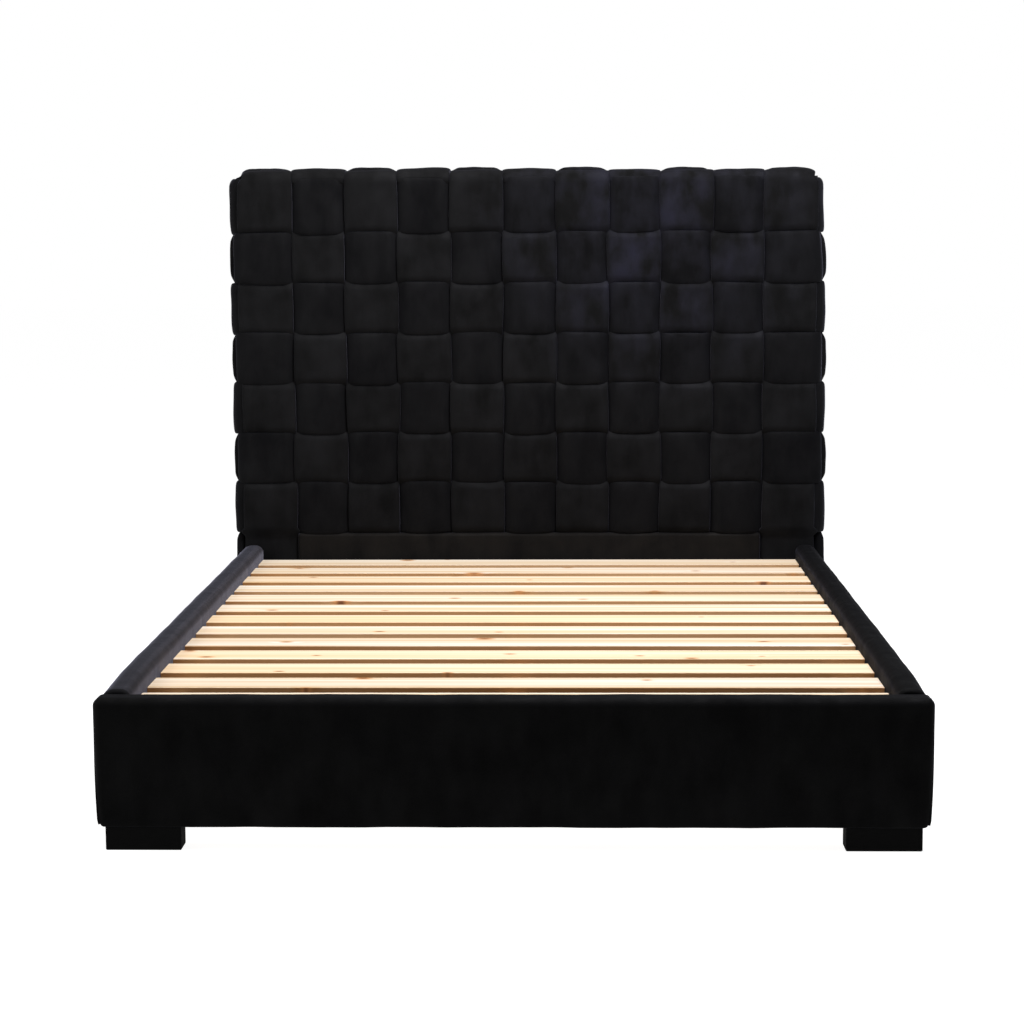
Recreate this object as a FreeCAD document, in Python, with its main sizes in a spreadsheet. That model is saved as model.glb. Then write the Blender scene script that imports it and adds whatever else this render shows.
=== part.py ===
import FreeCAD, Part
import math
import os
import Sketcher
from FreeCAD import Vector

# Upholstered bed frame with a basket-weave padded headboard and a slatted base.
# Millimetres. +Z is up, the foot end faces -Y and the origin is on the floor,
# under the middle of the bed.

doc = FreeCAD.newDocument("UpholsteredBed")

# ---------------------------------------------------------------- sizes
sizes = {
    # overall
    "bedWidth": 1651, "bedLength": 2184, "headTop": 1387,
    "footHeight": 47, "railHeight": 260,
    # padded rails: a board, foam all round it, thicker on top, and a fabric cover
    "coreThick": 36, "foamThick": 11, "foamTop": 28, "coverThick": 2,
    "footRound": 16, "sideRound": 28, "sideInset": 3.5,
    "sideRise": 12, "lipWidth": 12,
    # headboard
    "headOverhang": 20, "frameDepth": 76, "boardThick": 9, "backingThick": 10,
    "postWidth": 70, "crossRailHeight": 90,
    # woven bands
    "columnCount": 11, "rowCount": 7, "rowPitch": 142,
    "sideMargin": 3, "topMargin": 11,
    "webThick": 5, "padThick": 22, "bandGap": 6, "bandLap": 2, "bandRound": 9,
    "tailThick": 3, "tailLength": 40,
    "liningThick": 2, "liningMargin": 15, "panelThick": 19, "panelRound": 8,
    # slatted base
    "slatCount": 13, "slatWidth": 104, "slatThick": 19, "slatDrop": 28,
    "slatEndGap": 21.5, "slatClearance": 1, "slatRound": 1.5,
    "ledgerWidth": 25, "ledgerHeight": 40,
    "tapeWidth": 35, "tapeThick": 1, "tapeInset": 35,
    "beamWidth": 45, "beamHeight": 70, "hangerThick": 3, "hangerLength": 40,
    # centre legs with screw-in glides
    "legWidth": 45, "legClear": 12, "stemRadius": 4, "boreClearance": 0.05,
    "stemLength": 42, "boreDepth": 55, "glideRadius": 16, "glideHeight": 9,
    # block feet
    "blockWidth": 150, "blockDepth": 50, "blockInset": 21, "blockSetback": 3,
    "blockChamfer": 2,
    # corner brackets and their bolts
    "bracketLeg": 60, "bracketHeight": 120, "bracketThick": 3, "bracketLow": 85,
    "boltRadius": 4, "headRadius": 7, "headHeight": 5, "boltReach": 45,
    "boltSpacing": 70, "boltOffset": 36,
}

sheet = doc.addObject("Spreadsheet::Sheet", "Sizes")
for row, (alias, number) in enumerate(sizes.items(), start=1):
    sheet.set(f"A{row}", alias)
    sheet.set(f"B{row}", str(number))
    sheet.setAlias(f"B{row}", alias)
doc.recompute()


def cell(text):
    # a formula over the sheet's aliases, each written with the sheet's name
    for alias in sorted(sizes, key=len, reverse=True):
        text = text.replace(alias, "\0" + str(list(sizes).index(alias)) + "\1")
    for place, alias in enumerate(sizes):
        text = text.replace("\0" + str(place) + "\1", "Sizes." + alias)
    return "(" + text + ")"


def value(formula):
    return float(sheet.evalExpression(formula))


# ---------------------------------------------------------------- shared places
half_width = cell("bedWidth / 2")
foot_face = cell("-bedLength / 2")
rail_thick = cell("coreThick + 2 * foamThick + 2 * coverThick")
rail_low = cell("footHeight")
rail_top = cell("footHeight + railHeight")
foot_inner = f"({foot_face} + {rail_thick})"
side_outer = cell("bedWidth / 2 - sideInset")
side_inner = f"({side_outer} - {rail_thick})"

head_back = cell("bedLength / 2")
frame_back = cell("bedLength / 2 - liningThick - tailThick")
frame_front = f"({frame_back} - {cell('frameDepth')})"
board_front = f"({frame_front} - {cell('boardThick')})"
weave_base = f"({board_front} - {cell('backingThick')})"
web_face = f"({weave_base} - {cell('webThick')})"
pad_face = f"({web_face} - {cell('padThick')})"
panel_face = f"({web_face} - {cell('panelThick')})"
head_half = f"({side_outer} + {cell('headOverhang - webThick - padThick')})"
head_core_top = cell("headTop - webThick - padThick")
weave_low = cell("headTop - webThick - padThick - topMargin - rowCount * rowPitch")

slat_top = f"({rail_top} - {cell('slatDrop')})"
slat_low = f"({slat_top} - {cell('slatThick')})"
deck_length = f"({pad_face} - {foot_inner})"
slat_pitch = (f"(({deck_length} - {cell('2 * slatEndGap')} - {cell('slatWidth')})"
              f" / {cell('slatCount - 1')})")
beam_low = f"({slat_low} - {cell('beamHeight')})"

parts = []


def sub_part(thing, name):
    thing.Label = name
    parts.append(thing)
    return thing


# ---------------------------------------------------------------- builders
def place(thing, x, y, z):
    thing.setExpression("Placement.Base.x", x)
    thing.setExpression("Placement.Base.y", y)
    thing.setExpression("Placement.Base.z", z)


def block(name, low, size):
    # a plain block from its lowest corner and its three sizes, all formulas
    thing = doc.addObject("Part::Box", name)
    for side, formula in zip(("Length", "Width", "Height"), size):
        thing.setExpression(side, formula)
    place(thing, *low)
    return thing


def between(low, high):
    return f"({high} - {low})"


def span(name, x, y, z):
    # a block given by where it starts and ends along each axis
    low = [pair[0] for pair in (x, y, z)]
    size = [between(*pair) for pair in (x, y, z)]
    return block(name, low, size)


def edges_along(shape, axis, test):
    # numbers of the straight edges along an axis whose middle passes the test
    found = []
    for number, edge in enumerate(shape.Edges, start=1):
        if edge.Curve.TypeId != "Part::GeomLine":
            continue
        if abs(edge.tangentAt(edge.FirstParameter).dot(axis)) > 0.999:
            if test(edge.CenterOfMass):
                found.append(number)
    return found


def rounded(name, base, axis, test, radius):
    # rounds the chosen edges of a block
    doc.recompute()
    thing = doc.addObject("Part::Fillet", name)
    thing.Base = base
    chosen = edges_along(base.Shape, axis, test)
    thing.Edges = [(number, radius, radius) for number in chosen]
    return thing


def cut(name, base, tool):
    thing = doc.addObject("Part::Cut", name)
    thing.Base = base
    thing.Tool = tool
    return thing


def compound(name, things):
    thing = doc.addObject("Part::Compound", name)
    thing.Links = things
    return thing


def origin_plane(body, role):
    return next(f for f in body.Origin.OriginFeatures if f.Role == role)


def outline_sketch(body, name, role, points, formulas):
    # a closed outline of straight lines; formulas maps a point's number to
    # the formulas of its two coordinates in the sketch
    sketch = body.newObject("Sketcher::SketchObject", name)
    sketch.AttachmentSupport = [(origin_plane(body, role), "")]
    sketch.MapMode = "FlatFace"
    count = len(points)
    for here in range(count):
        start, end = points[here], points[(here + 1) % count]
        sketch.addGeometry(Part.LineSegment(Vector(*start, 0), Vector(*end, 0)), False)
    for here in range(count):
        after = (here + 1) % count
        sketch.addConstraint(Sketcher.Constraint("Coincident", here, 2, after, 1))
    for here, pair in formulas.items():
        for kind, at, formula in zip(("DistanceX", "DistanceY"), points[here], pair):
            number = sketch.addConstraint(Sketcher.Constraint(kind, -1, 1, here, 1, at))
            sketch.renameConstraint(number, f"{kind}{here}")
            sketch.setExpression(f"Constraints.{kind}{here}", formula)
    return sketch


def drawn_body(name, role, formulas):
    # a body and its sketch, whose corners are pairs of formulas
    body = doc.addObject("PartDesign::Body", name)
    points = [(value(first), value(second)) for first, second in formulas]
    numbered = dict(enumerate(formulas))
    return body, outline_sketch(body, name + "Outline", role, points, numbered)


def padded_body(name, role, formulas, length, midplane=False):
    body, sketch = drawn_body(name, role, formulas)
    pad = body.newObject("PartDesign::Pad", name + "Pad")
    pad.Profile = sketch
    pad.Midplane = midplane
    pad.setExpression("Length", length)
    return body, pad


def turned_body(name, formulas):
    # a body turned about Z from its half outline in the XZ plane
    body, sketch = drawn_body(name, "XZ_Plane", formulas)
    turned = body.newObject("PartDesign::Revolution", name + "Turned")
    turned.Profile = sketch
    turned.ReferenceAxis = (sketch, ["V_Axis"])
    turned.Angle = 360
    return body


def rectangle(low_a, high_a, low_b, high_b):
    return [(low_a, low_b), (high_a, low_b), (high_a, high_b), (low_a, high_b)]


along_x, along_y, along_z = Vector(1, 0, 0), Vector(0, 1, 0), Vector(0, 0, 1)


# ---------------------------------------------------------------- bolts' clearance
# Each inside corner of the base has an angle bracket held by two bolts in each leg.
bracket_mid = cell("bracketLow + bracketHeight / 2")
bolt_levels = [f"({bracket_mid} + {sign} * {cell('boltSpacing / 2')})" for sign in (-1, 1)]
bolt_in = cell("boltOffset")


def bolt_places():
    # (face point, direction into the wood) of every bolt
    found = []
    for level in bolt_levels:
        z = value(level)
        reach = value(side_inner)
        for side in (-1, 1):
            for wall, into in ((foot_inner, 1), (pad_face, -1)):
                y = value(wall)
                aside = value(bolt_in)
                found.append((Vector(side * reach, y + into * aside, z), Vector(side, 0, 0)))
                found.append((Vector(side * (reach - aside), y, z), Vector(0, -into, 0)))
    return found


def bolt_holes():
    holes = []
    for number, spot in enumerate(bolt_places()):
        hole = doc.addObject("Part::Cylinder", f"BoltHole{number}")
        hole.setExpression("Radius", "Sizes.boltRadius")
        hole.setExpression("Height", "Sizes.boltReach")
        face, into = spot
        hole.Placement = FreeCAD.Placement(face, FreeCAD.Rotation(along_z, into))
        holes.append(hole)
    return compound("BoltHoles", holes)


holes = bolt_holes()


# ---------------------------------------------------------------- padded rails
def padded_rail(name, x, y, ends, radius, crown):
    # core board, foam and cover; x and y are the cover's outer faces, ends tells
    # along which axis the rail is long, radius rounds its top edges and crown is the
    # height of its top
    skin, foam = cell("coverThick"), cell("foamThick")

    def inset(pair, depth):
        return (f"({pair[0]} + {depth})", f"({pair[1]} - {depth})")

    inner = f"({skin} + {foam})"
    foot = f"({rail_low} + {skin})"
    skin_in = value(skin)
    board_top = f"({crown} - {skin} - {cell('foamTop')})"

    def top_round(label, base, size):
        doc.recompute()
        top = base.Shape.BoundBox.ZMax
        across = along_x if ends == "x" else along_y
        return rounded(label, base, across, lambda mid: abs(mid.z - top) < 0.01, size)

    shell = span(name + "ShellBlock", x, y, (rail_low, crown))
    shell = top_round(name + "Shell", shell, radius)
    filling_x, filling_y = inset(x, skin), inset(y, skin)
    filling_top = f"({crown} - {skin})"
    filling = span(name + "FillingBlock", filling_x, filling_y, (foot, filling_top))
    filling = top_round(name + "Filling", filling, radius - skin_in)
    core_x, core_y = inset(x, inner), inset(y, inner)
    board = span(name + "Board", core_x, core_y, (foot, board_top))
    lip = cell("coverThick + lipWidth")
    slot_x, slot_y = inset(x, lip), inset(y, lip)
    slot = span(name + "Slot", slot_x, slot_y, (f"({rail_low} - {skin})", f"({foot} + {skin})"))

    core = sub_part(cut(name + "Core", board, holes), name + "_core")
    padding = cut(name + "Padding", cut(name + "Hollow", filling, board), holes)
    bag = cut(name + "Bag", shell, filling)
    cover = cut(name + "Cover", cut(name + "OpenBag", bag, slot), holes)
    sub_part(cover, name + "_cover")
    return core, padding


side_round = value(cell("sideRound"))
side_top = f"({rail_top} + {cell('sideRise')})"
foot_rail = padded_rail("foot_rail", (f"(0 - {half_width})", half_width), (foot_face, foot_inner),
                        "x", value(cell("footRound")), rail_top)
left_rail = padded_rail("side_rail_left", (f"(0 - {side_outer})", f"(0 - {side_inner})"),
                        (foot_inner, pad_face), "y", side_round, side_top)
right_rail = padded_rail("side_rail_right", (side_inner, side_outer), (foot_inner, pad_face),
                         "y", side_round, side_top)
paddings = [rail[1] for rail in (foot_rail, left_rail, right_rail)]
sub_part(compound("RailFoam", paddings), "rail_foam")


# ---------------------------------------------------------------- slatted base
def slat(number):
    reach = f"({side_inner} - {cell('slatClearance')})"
    start = f"({foot_inner} + {cell('slatEndGap')} + {number} * {slat_pitch})"
    name = f"Slat{number + 1:02d}"
    body, pad = padded_body(name, "YZ_Plane",
                            rectangle("0", "Sizes.slatWidth", "0", "Sizes.slatThick"),
                            f"2 * {reach}", midplane=True)
    place(body, "0", start, slat_low)
    doc.recompute()
    easing = body.newObject("PartDesign::Fillet", name + "Eased")
    long_edges = edges_along(pad.Shape, along_x, lambda mid: True)
    easing.Base = (pad, [f"Edge{edge}" for edge in long_edges])
    easing.setExpression("Radius", "Sizes.slatRound")
    sub_part(body, f"slat_{number + 1:02d}")


for number in range(int(value(cell("slatCount")))):
    slat(number)

ledger_low = f"({slat_low} - {cell('ledgerHeight')})"
for side, name in ((-1, "left"), (1, "right")):
    outer = f"({side} * {side_inner})"
    inner = f"({side} * ({side_inner} - {cell('ledgerWidth')}))"
    across = (outer, inner) if side < 0 else (inner, outer)
    ledger = span("Ledger" + name, across, (foot_inner, pad_face), (ledger_low, slat_low))
    sub_part(ledger, f"slat_ledger_{name}")

# two woven tapes stapled under the slats keep them apart
tape_start = f"({foot_inner} + {cell('slatEndGap')})"
tape_end = f"({pad_face} - {cell('slatEndGap')})"
tapes = []
for side in (-1, 1):
    near = f"({side_inner} - {cell('ledgerWidth + tapeInset')})"
    low = f"({side} * {near} - {cell('tapeWidth / 2')})"
    high = f"({side} * {near} + {cell('tapeWidth / 2')})"
    tape_low = f"({slat_low} - {cell('tapeThick')})"
    tapes.append(span(f"Tape{len(tapes)}", (low, high), (tape_start, tape_end), (tape_low, slat_low)))
sub_part(compound("SlatTapes", tapes), "slat_tapes")

# centre beam, hung at both ends in folded steel hangers
hanger_skin = cell("hangerThick")
beam_half = cell("beamWidth / 2")
beam_y = (f"({foot_inner} + {hanger_skin})", f"({panel_face} - {hanger_skin})")
beam = span("Beam", (f"(0 - {beam_half})", beam_half), beam_y, (beam_low, slat_low))
sub_part(beam, "centre_beam")

hangers = []
hanger_half = f"({beam_half} + {hanger_skin})"
for wall, sign in ((foot_inner, 1), (panel_face, -1)):
    tip = f"({wall} + {sign} * {cell('hangerLength')})"
    face = f"({wall} + {sign} * {hanger_skin})"
    order = (wall, tip) if sign > 0 else (tip, wall)
    pocket = (face, f"({tip} + {hanger_skin})") if sign > 0 else (f"({tip} - {hanger_skin})", face)
    folded = span(f"HangerBlock{sign + 1}", (f"(0 - {hanger_half})", hanger_half), order,
                  (f"({beam_low} - {hanger_skin})", f"({slat_low} - {cell('beamHeight / 5')})"))
    hollow = span(f"HangerPocket{sign + 1}", (f"(0 - {beam_half})", beam_half), pocket,
                  (beam_low, slat_top))
    hangers.append(cut(f"Hanger{sign + 1}", folded, hollow))
sub_part(compound("BeamHangers", hangers), "beam_hangers")


# ---------------------------------------------------------------- centre legs
def centre_leg(name, third):
    # a square leg with a bore for the stem of its screw-in glide
    station = f"({foot_inner} + {third} * {deck_length} / 3)"
    half = cell("legWidth / 2")
    leg, _ = padded_body("Leg" + name, "XY_Plane",
                         rectangle(f"(0 - {half})", half, f"(0 - {half})", half),
                         f"({beam_low} - {cell('legClear')})")
    bore = leg.newObject("PartDesign::SubtractiveCylinder", "LegBore" + name)
    bore.setExpression("Radius", cell("stemRadius + boreClearance"))
    bore.setExpression("Height", "Sizes.boreDepth")
    place(leg, "0", station, "Sizes.legClear")
    sub_part(leg, f"centre_leg_{name}")

    radius, thick = "Sizes.glideRadius", "Sizes.glideHeight"
    stem, rise = "Sizes.stemRadius", f"({thick} + Sizes.stemLength)"
    glide = turned_body("Glide" + name, [("0", "0"), (radius, "0"), (radius, f"({thick} / 3)"),
                                         (f"({radius} * 0.6)", thick), (stem, thick),
                                         (stem, rise), ("0", rise)])
    place(glide, "0", station, "0")
    sub_part(glide, f"glide_{name}")


centre_leg("front", 1)
centre_leg("rear", 2)


# ---------------------------------------------------------------- block feet
def block_foot(number, side, front):
    half = cell("blockWidth / 2")
    body, pad = padded_body(f"Foot{number}", "XY_Plane",
                            rectangle(f"(0 - {half})", half, "0", "Sizes.blockDepth"),
                            "Sizes.footHeight")
    across = f"({side} * ({half_width} - {cell('blockInset')} - {half}))"
    setback = cell("blockSetback")
    y = f"({foot_face} + {setback})" if front else f"({frame_back} - Sizes.blockDepth)"
    place(body, across, y, "0")
    doc.recompute()
    eased = body.newObject("PartDesign::Chamfer", f"FootEased{number}")
    lower = [e for e in range(1, len(pad.Shape.Edges) + 1)
             if pad.Shape.Edges[e - 1].CenterOfMass.z < 0.01]
    eased.Base = (pad, [f"Edge{edge}" for edge in lower])
    eased.setExpression("Size", "Sizes.blockChamfer")
    return body


feet = [block_foot(number, side, front)
        for number, (side, front) in enumerate(((-1, True), (1, True), (-1, False), (1, False)))]
sub_part(compound("BlockFeet", feet), "block_feet")


# ---------------------------------------------------------------- brackets and bolts
def corner_bracket(number, side, wall, into):
    # a folded angle with two bolt holes in each leg, in an inside corner
    leg, skin = cell("bracketLeg"), cell("bracketThick")
    x = f"({side} * {side_inner})"
    far_x = f"({x} - {side} * {leg})"
    thin_x = f"({x} - {side} * {skin})"
    far_y = f"({wall} + {into} * {leg})"
    thin_y = f"({wall} + {into} * {skin})"
    corners = [(x, wall), (far_x, wall), (far_x, thin_y), (thin_x, thin_y), (thin_x, far_y), (x, far_y)]
    body, _ = padded_body(f"Bracket{number}", "XY_Plane", corners, "Sizes.bracketHeight")
    place(body, "0", "0", "Sizes.bracketLow")
    return body


def bracket_holes():
    # the bolts' shanks through the bracket's legs, towards the room
    shanks = []
    for number, (face, into) in enumerate(bolt_places()):
        shank = doc.addObject("Part::Cylinder", f"BracketHole{number}")
        shank.setExpression("Radius", "Sizes.boltRadius")
        shank.setExpression("Height", "Sizes.bracketThick")
        shank.Placement = FreeCAD.Placement(face, FreeCAD.Rotation(along_z, into * -1))
        shanks.append(shank)
    return compound("BracketHoles", shanks)


corners = [(side, wall, into) for side in (-1, 1) for wall, into in ((foot_inner, 1), (pad_face, -1))]
angles = [corner_bracket(number, *corner) for number, corner in enumerate(corners)]
angles = compound("Angles", angles)
sub_part(cut("CornerBrackets", angles, bracket_holes()), "corner_brackets")


def bed_bolt(face, into):
    # shank from the bracket's outer face into the board, under a hexagonal head
    thick, reach = value(cell("bracketThick")), value(cell("boltReach"))
    radius, height = value(cell("headRadius")), value(cell("headHeight"))
    shank = Part.makeCylinder(value(cell("boltRadius")), reach + thick, Vector(0, 0, -thick))
    ring = [Vector(radius * math.cos(k * math.pi / 3), radius * math.sin(k * math.pi / 3), -thick - height)
            for k in range(7)]
    head = Part.Face(Part.makePolygon(ring)).extrude(Vector(0, 0, height))
    bolt = shank.fuse(head).removeSplitter()
    bolt.Placement = FreeCAD.Placement(face, FreeCAD.Rotation(along_z, into))
    return bolt


bolts = doc.addObject("Part::Feature", "BedBolts")
bolts.Shape = Part.makeCompound([bed_bolt(*spot) for spot in bolt_places()])
sub_part(bolts, "bed_bolts")


# ---------------------------------------------------------------- headboard frame
post_in = f"({head_half} - {cell('postWidth')})"
frame_y = (frame_front, frame_back)
low_edge = f"({rail_low} + {cell('coverThick')})"
for side, name in ((-1, "left"), (1, "right")):
    outer, inner = f"({side} * {head_half})", f"({side} * {post_in})"
    across = (outer, inner) if side < 0 else (inner, outer)
    post = span("Post" + name, across, frame_y, (rail_low, head_core_top))
    sub_part(cut("PostBored" + name, post, holes), f"headboard_post_{name}")

cross = cell("crossRailHeight")
cross_lows = [f"({head_core_top} - {cross})", f"({weave_low} - {cross})", rail_low]
cross_rails = []
for number, low in enumerate(cross_lows):
    cross_rails.append(span(f"CrossRail{number}", (f"(0 - {post_in})", post_in), frame_y,
                            (low, f"({low} + {cross})")))
sub_part(compound("CrossRails", cross_rails), "headboard_cross_rails")

full_x = (f"(0 - {head_half})", head_half)
full_z = (rail_low, head_core_top)
board = span("FaceBoard", full_x, (board_front, frame_front), full_z)
sub_part(cut("FaceBoardBored", board, holes), "headboard_face_board")
backing = span("FoamBacking", full_x, (weave_base, board_front), full_z)
sub_part(cut("FoamBackingBored", backing, holes), "headboard_foam")

lining_margin = cell("liningMargin")
lining = span("Lining", (f"(0 - ({head_half} - {lining_margin}))", f"({head_half} - {lining_margin})"),
              (f"({head_back} - {cell('liningThick')})", head_back),
              (low_edge, f"({head_core_top} - {lining_margin})"))
sub_part(lining, "back_lining")

column_pitch = f"(({head_half} - {cell('sideMargin')}) * 2 / {cell('columnCount')})"
gap_half = cell("bandGap / 2")
panel_half = f"({cell('columnCount / 2 - 1')} * {column_pitch} - {gap_half})"
panel_block = span("LowerPanelBlock", (f"(0 - {panel_half})", panel_half), (panel_face, web_face),
                   (low_edge, f"({weave_low} - {gap_half})"))
panel_front = value(panel_face)
lower_panel = rounded("LowerPanel", panel_block, along_z,
                      lambda mid: abs(mid.y - panel_front) < 0.01, value(cell("panelRound")))
sub_part(lower_panel, "lower_panel")


# ---------------------------------------------------------------- woven bands
# A band is flat where it passes under the crossing band and a thick pad where it
# passes over. It is drawn as a union of rectangles in the plane of its path, where
# t runs along the face and y is the depth, and stretched to the band's width.
face, web, base = value(pad_face), value(web_face), value(weave_base)
back, tail_face = value(frame_back), value(frame_back) + value(cell("tailThick"))
web_thick = value(cell("webThick"))
rise = web_thick + value(cell("padThick"))
lap, gap = value(cell("bandLap")), value(cell("bandGap")) / 2
tail = value(cell("tailLength"))
edge_x, edge_z = value(head_half), value(head_core_top)
foot_z = value(rail_low) + value(cell("coverThick"))

pitch = value(column_pitch)
columns, rows = int(value(cell("columnCount"))), int(value(cell("rowCount")))
column_lines = [-edge_x] + [(k - columns / 2) * pitch for k in range(1, columns)] + [edge_x]
row_pitch = value(cell("rowPitch"))
row_lines = [value(weave_low) + k * row_pitch for k in range(rows)] + [edge_z]


def column_is_over(row, column):
    # rows are counted from the top here; row -1 is the top face, column -1 a side
    return (row + column) % 2 == 0


def run(lines, overs):
    # rectangles of a band along a face, cell by cell, with a riser at each change
    found = []
    for cell_number, over in enumerate(overs):
        low, high = lines[cell_number], lines[cell_number + 1]
        if over:
            found.append((low - lap, high + lap, face, web))
        else:
            found.append((low, high, web, base))
        if cell_number and over != overs[cell_number - 1]:
            found.append((low - lap, low + lap, face, base))
    return found


def wrap(edge, over, tail_length):
    # rectangles that take a band round an edge of the headboard and onto its back
    if over:
        found = [(edge - lap, edge + web_thick, face, web), (edge, edge + web_thick, face, tail_face)]
    else:
        found = [(edge, edge + rise, web, base), (edge + web_thick, edge + rise, web, tail_face),
                 (edge, edge + rise, back, tail_face)]
    if tail_length:
        found.append((edge - tail_length, edge + web_thick, back, tail_face))
    return found


def mirrored(rectangles):
    return [(-high, -low, front, rear) for low, high, front, rear in rectangles]


def band_solid(rectangles, corner, width, to_point):
    # one solid from rectangles; to_point places (t, y) and width in the bed's frame
    solids = []
    for low, high, front, rear in rectangles:
        first = to_point(low, front, corner)
        last = to_point(high, rear, corner + width)
        step = last - first
        solids.append(Part.makeBox(step.x, step.y, step.z, first))
    return solids[0].fuse(solids[1:]).removeSplitter()


def soften(solid, axis, test):
    # rounds the pads' outer edges across the band
    chosen = [solid.Edges[n - 1] for n in edges_along(solid, axis, test)]
    return solid.makeFillet(value(cell("bandRound")), chosen) if chosen else solid


def woven(name, solid):
    thing = doc.addObject("Part::Feature", name)
    thing.Shape = solid
    sub_part(thing, name)
    return thing


def on_pad_face(mid):
    return abs(mid.y - face) < 0.01


for column in range(columns):
    overs = [column_is_over(row, column) for row in range(rows - 1, -1, -1)]
    outer = column in (0, columns - 1)
    rectangles = run(row_lines, overs)
    rectangles += wrap(edge_z, overs[-1], 0 if outer else tail)
    if outer:
        rectangles.append((foot_z, row_lines[0] + lap, face, base))
    else:
        rectangles.append((foot_z, row_lines[0] + lap, web, base))
        if overs[0]:
            rectangles.append((row_lines[0] - lap, row_lines[0] + lap, face, base))
    start, end = column_lines[column] + gap, column_lines[column + 1] - gap
    solid = band_solid(rectangles, start, end - start, lambda t, y, across: Vector(across, y, t))
    solid = soften(solid, along_x, on_pad_face)
    if outer:
        solid = solid.cut(holes.Shape)
    woven(f"weave_column_{column + 1:02d}", solid)

for row in range(rows):
    overs = [not column_is_over(row, column) for column in range(columns)]
    rectangles = run(column_lines, overs)
    rectangles += wrap(edge_x, overs[-1], tail) + mirrored(wrap(edge_x, overs[0], tail))
    line = rows - 1 - row
    start, end = row_lines[line] + gap, row_lines[line + 1] - gap
    solid = band_solid(rectangles, start, end - start, lambda t, y, across: Vector(t, y, across))
    woven(f"weave_row_{row + 1}", soften(solid, along_z, on_pad_face))

# one band lies along each side face and one along the top face
edge_start, edge_end = base + gap, back - gap


def edge_band(lines, overs, level):
    # rectangles as (t, depth) with the depth counted outwards from the frame
    found = []
    for number, over in enumerate(overs):
        low, high = lines[number], lines[number + 1]
        found.append((low - lap, high + lap, level + web_thick, level + rise) if over
                     else (low, high, level, level + web_thick))
        if number and over != overs[number - 1]:
            found.append((low - lap, low + lap, level, level + rise))
    return found


for side, name in ((-1, "left"), (1, "right")):
    overs = [column_is_over(row, -1) for row in range(rows - 1, -1, -1)]
    rectangles = edge_band(row_lines, overs, edge_x)
    rectangles.append((foot_z, row_lines[0] - lap, edge_x, edge_x + rise))
    rectangles.append((row_lines[0] - lap, row_lines[0], edge_x, edge_x + web_thick))
    solids = [Part.makeBox(high - low, edge_end - edge_start, outer - inner,
                           Vector(low, edge_start, inner))
              for low, high, inner, outer in rectangles]
    solid = solids[0].fuse(solids[1:]).removeSplitter()
    # (t, depth) lies along (X, Z) here: stand it up, then face it outwards
    solid.rotate(Vector(), along_y, -90)
    solid = solid if side < 0 else solid.mirror(Vector(), along_x)
    woven(f"side_band_{name}", solid)

overs = [not column_is_over(-1, column) for column in range(columns)]
rectangles = edge_band(column_lines, overs, edge_z)
rectangles += [(edge_x - lap, edge_x + rise, edge_z + web_thick, edge_z + rise),
               (-edge_x - rise, -edge_x + lap, edge_z + web_thick, edge_z + rise)]
solids = [Part.makeBox(high - low, edge_end - edge_start, outer - inner, Vector(low, edge_start, inner))
          for low, high, inner, outer in rectangles]
woven("top_band", solids[0].fuse(solids[1:]).removeSplitter())


# ---------------------------------------------------------------- checks and files
doc.recompute()
for thing in doc.Objects:
    if "Invalid" in thing.State or "Error" in thing.State:
        raise RuntimeError(f"{thing.Label} failed: {thing.State}")
for part in parts:
    if part.Shape.isNull() or not part.Shape.isValid():
        raise RuntimeError(f"{part.Label} has no valid shape")

os.makedirs("parts", exist_ok=True)
for part in parts:
    part.Shape.exportStep(f"parts/{part.Label}.step")
print(len(parts), "sub-parts written")
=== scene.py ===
import bpy
import math
import numpy as np
from mathutils import Matrix, Vector


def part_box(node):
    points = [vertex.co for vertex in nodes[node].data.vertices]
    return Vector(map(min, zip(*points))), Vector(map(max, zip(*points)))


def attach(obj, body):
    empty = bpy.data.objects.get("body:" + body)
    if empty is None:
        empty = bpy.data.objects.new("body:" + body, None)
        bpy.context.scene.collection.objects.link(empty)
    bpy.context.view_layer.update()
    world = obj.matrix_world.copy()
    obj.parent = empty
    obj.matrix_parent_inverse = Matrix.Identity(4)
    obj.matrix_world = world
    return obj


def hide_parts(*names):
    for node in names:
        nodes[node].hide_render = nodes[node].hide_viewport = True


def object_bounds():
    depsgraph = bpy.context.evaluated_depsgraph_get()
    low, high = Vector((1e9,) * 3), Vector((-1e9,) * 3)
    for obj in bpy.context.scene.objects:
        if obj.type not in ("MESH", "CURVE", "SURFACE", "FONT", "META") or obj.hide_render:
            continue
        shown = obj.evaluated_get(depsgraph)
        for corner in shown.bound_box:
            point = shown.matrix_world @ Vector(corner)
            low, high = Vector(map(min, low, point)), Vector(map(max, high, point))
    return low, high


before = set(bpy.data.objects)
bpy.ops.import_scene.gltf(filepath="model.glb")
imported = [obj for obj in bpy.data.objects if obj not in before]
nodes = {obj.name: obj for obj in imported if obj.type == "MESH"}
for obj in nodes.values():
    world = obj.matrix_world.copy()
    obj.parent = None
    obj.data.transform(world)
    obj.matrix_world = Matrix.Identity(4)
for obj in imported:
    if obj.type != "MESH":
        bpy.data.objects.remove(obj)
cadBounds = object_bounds()
bodyName = "bed_frame"


# small helpers
def linearColour(hexText):
    # an sRGB hex value as the linear colour that the shader wants
    parts = [int(hexText[i:i + 2], 16) / 255 for i in (1, 3, 5)]
    linear = [p / 12.92 if p <= 0.04045 else ((p + 0.055) / 1.055) ** 2.4 for p in parts]
    return (*linear, 1.0)


def addNode(tree, kind, inputs=None, **settings):
    # a node with its settings, and its sockets given a value or a link
    node = tree.nodes.new(kind)
    for key, value in settings.items():
        setattr(node, key, value)
    for key, value in (inputs or {}).items():
        if isinstance(value, bpy.types.NodeSocket):
            tree.links.new(value, node.inputs[key])
        else:
            node.inputs[key].default_value = value
    return node


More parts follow.
